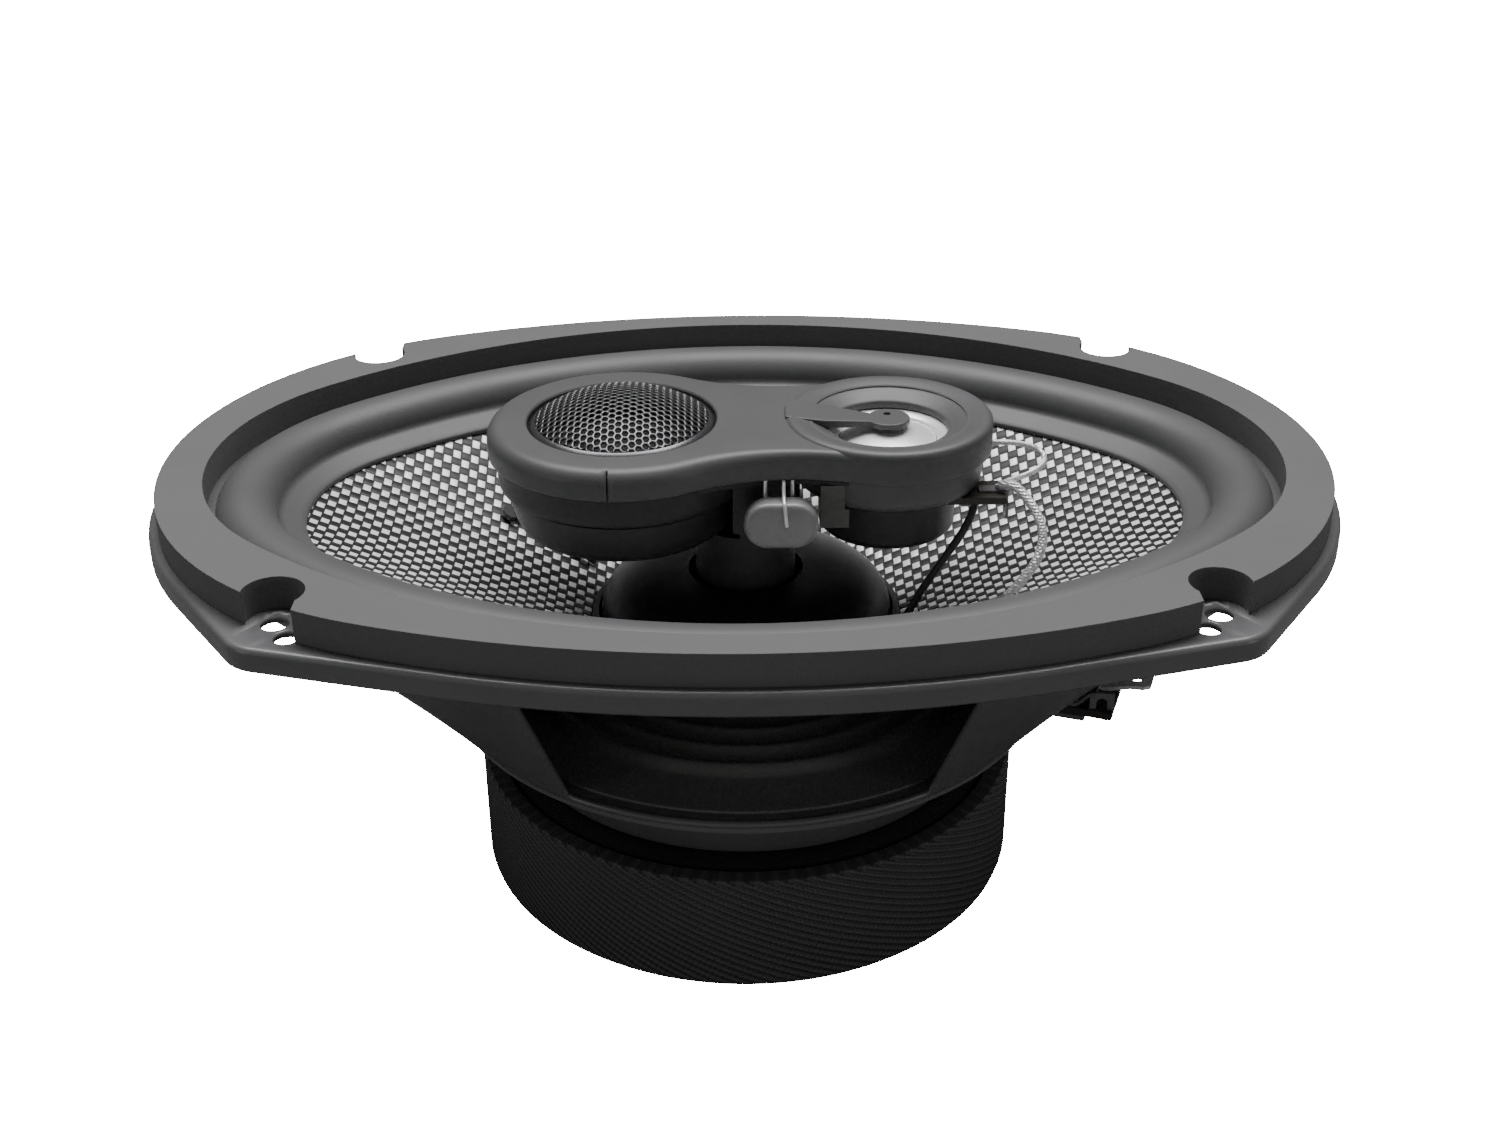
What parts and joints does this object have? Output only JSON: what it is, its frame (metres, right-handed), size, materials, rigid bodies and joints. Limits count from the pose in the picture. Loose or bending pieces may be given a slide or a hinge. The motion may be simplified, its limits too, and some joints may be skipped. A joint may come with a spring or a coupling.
{
  "type": "coaxial car speaker",
  "caption": "Oval three-way coaxial car speaker: pressed frame with screw ears, woven woofer cone, and a bridge that holds a meshed midrange and a tweeter over it.",
  "frame": {"origin": "centre of the plane on which the flange's turned-down lip rests, on the woofer's axis", "axes": "+X along the long axis towards the terminals, +Y across, +Z out of the front towards the listener"},
  "size_m": [0.235, 0.165, 0.1027],
  "materials": {
    "black_paint": "satin black paint on pressed steel",
    "gasket_foam": "matte closed-cell gasket",
    "surround_rubber": "satin rubber",
    "spider_cloth": "impregnated cloth",
    "woven_cone": "woven black and silver fibre under clear resin",
    "cap_plastic": "semi-gloss black",
    "former_film": "amber film",
    "copper_winding": "enamelled copper wire",
    "black_sleeve": "black sleeve",
    "black_glue": "cured black adhesive",
    "plated_steel": "zinc plate",
    "ferrite": "sintered ferrite",
    "boot_rubber": "fine textured rubber",
    "rivet_steel": "zinc plate",
    "black_plastic": "moulded black",
    "satin_plastic": "soft satin finish",
    "nickel": "nickel plate",
    "mid_cloth": "coated cloth",
    "mesh_paint": "satin black paint",
    "silver_film": "metallised film",
    "grey_epoxy": "dipped epoxy",
    "tinned_copper": "tinned wire",
    "tag_card": "fish paper",
    "phenolic": "phenolic paper board",
    "tin_plate": "bright tin plate"
  },
  "bodies": {
    "frame": {"basket": "black_paint", "gasket": "gasket_foam", "surround": "surround_rubber", "spider": "spider_cloth", "top_plate": "plated_steel", "ring_magnet": "ferrite", "pole_yoke": "plated_steel", "magnet_boot": "boot_rubber", "plate_rivets": "rivet_steel", "centre_post": "black_plastic", "post_bolt": "rivet_steel", "bridge_base": "black_plastic", "bridge_screw": "rivet_steel", "bridge_cover": "satin_plastic", "mid_housing": "black_plastic", "mid_back_cover": "black_plastic", "mid_pot": "plated_steel", "mid_magnet": "nickel", "mid_pole_piece": "plated_steel", "mid_suspension": "surround_rubber", "mid_grille": "mesh_paint", "tweeter_housing": "black_plastic", "tweeter_back_can": "black_plastic", "tweeter_pot": "plated_steel", "tweeter_magnet": "nickel", "tweeter_pole_piece": "plated_steel", "tweeter_suspension": "silver_film", "tweeter_phase_plug": "satin_plastic", "tweeter_capacitor": "grey_epoxy", "mid_capacitor": "grey_epoxy", "capacitor_leads": "tinned_copper", "insulating_tag": "tag_card", "lug_board": "phenolic", "solder_lugs": "tin_plate", "pod_braid": "tinned_copper", "cone_braids": "tinned_copper", "terminal_board": "phenolic", "large_spade": "tin_plate", "small_spade": "tin_plate", "terminal_rivets": "rivet_steel", "tinsel_leads": "tinned_copper"},
    "woofer_assembly": {"woofer_cone": "woven_cone", "dust_cap": "cap_plastic", "coil_former": "former_film", "woofer_voice_coil": "copper_winding", "coil_leads": "black_sleeve", "lead_patches": "black_glue"},
    "midrange_diaphragm": {"mid_diaphragm": "mid_cloth", "mid_voice_coil": "copper_winding"},
    "tweeter_diaphragm": {"tweeter_dome": "silver_film", "tweeter_voice_coil": "copper_winding"}
  },
  "joints": [
    {"name": "woofer_excursion", "type": "slide", "parent": "frame", "child": "woofer_assembly", "axis": [0, 0, 1], "range_m": [-0.005, 0.005], "stiffness_N_per_m": 1500, "deforming": ["surround", "spider", "cone_braids", "tinsel_leads"]},
    {"name": "midrange_excursion", "type": "slide", "parent": "frame", "child": "midrange_diaphragm", "axis": [0, 0, 1], "range_m": [-0.0006, 0.0006], "stiffness_N_per_m": 800, "deforming": ["mid_suspension"]},
    {"name": "tweeter_excursion", "type": "slide", "parent": "frame", "child": "tweeter_diaphragm", "axis": [0, 0, 1], "range_m": [-0.0003, 0.0003], "stiffness_N_per_m": 500, "deforming": ["tweeter_suspension"]}
  ]
}
